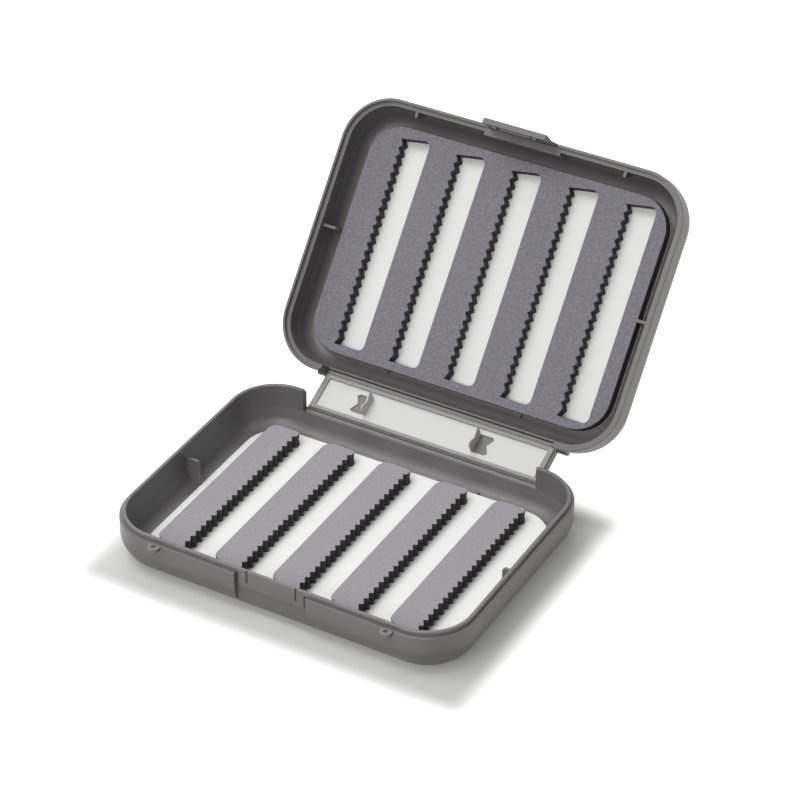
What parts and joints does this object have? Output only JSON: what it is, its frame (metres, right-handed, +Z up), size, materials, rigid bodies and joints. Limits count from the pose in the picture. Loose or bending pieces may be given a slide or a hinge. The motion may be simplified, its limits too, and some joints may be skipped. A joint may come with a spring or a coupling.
{
  "type": "fly box",
  "caption": "Pocket fly box: two shallow rounded trays on a two-axis spine, toothed foam in both, a snap latch and lanyard eyelets.",
  "frame": {"origin": "centre of the base tray's flat underside", "axes": "+Z up, +X along the hinge, -Y out of the latch front, +Y towards the hinge"},
  "size_m": [0.13, 0.179, 0.1019],
  "materials": {
    "case_plastic": "satin moulded",
    "spine_plastic": "satin moulded",
    "pale_sheet": "bead blasted sheet",
    "grey_foam": "fine closed-cell foam",
    "white_foam": "fine closed-cell foam",
    "steel": "drawn wire"
  },
  "bodies": {
    "base": {"base_shell": "case_plastic", "base_backing_pad": "white_foam", "base_foam_strip_1": "grey_foam", "base_foam_strip_2": "grey_foam", "base_foam_strip_3": "grey_foam", "base_foam_strip_4": "grey_foam", "base_foam_strip_5": "grey_foam", "base_hinge_pin_left": "steel", "base_hinge_pin_right": "steel"},
    "spine": {"spine_body": "spine_plastic", "spine_frame": "spine_plastic", "spine_plate": "pale_sheet"},
    "lid": {"lid_shell": "case_plastic", "lid_backing_pad": "white_foam", "lid_foam_panel": "grey_foam", "lid_hinge_pin_left": "steel", "lid_hinge_pin_right": "steel", "latch_pin": "steel"},
    "latch": {"latch": "case_plastic"}
  },
  "joints": [
    {"name": "spine_hinge", "type": "hinge", "parent": "base", "child": "spine", "pos_m": [0, 0.0485, 0.00767], "axis": [-1, 0, 0], "range_deg": [-65.5, 24.5]},
    {"name": "lid_hinge", "type": "hinge", "parent": "spine", "child": "lid", "pos_m": [0, 0.0638, 0.01464], "axis": [-1, 0, 0], "range_deg": [-63.6, 26.4]},
    {"name": "latch_hinge", "type": "hinge", "parent": "lid", "child": "latch", "pos_m": [0, 0.12207, 0.09163], "axis": [-1, 0, 0], "range_deg": [0, 75]}
  ]
}
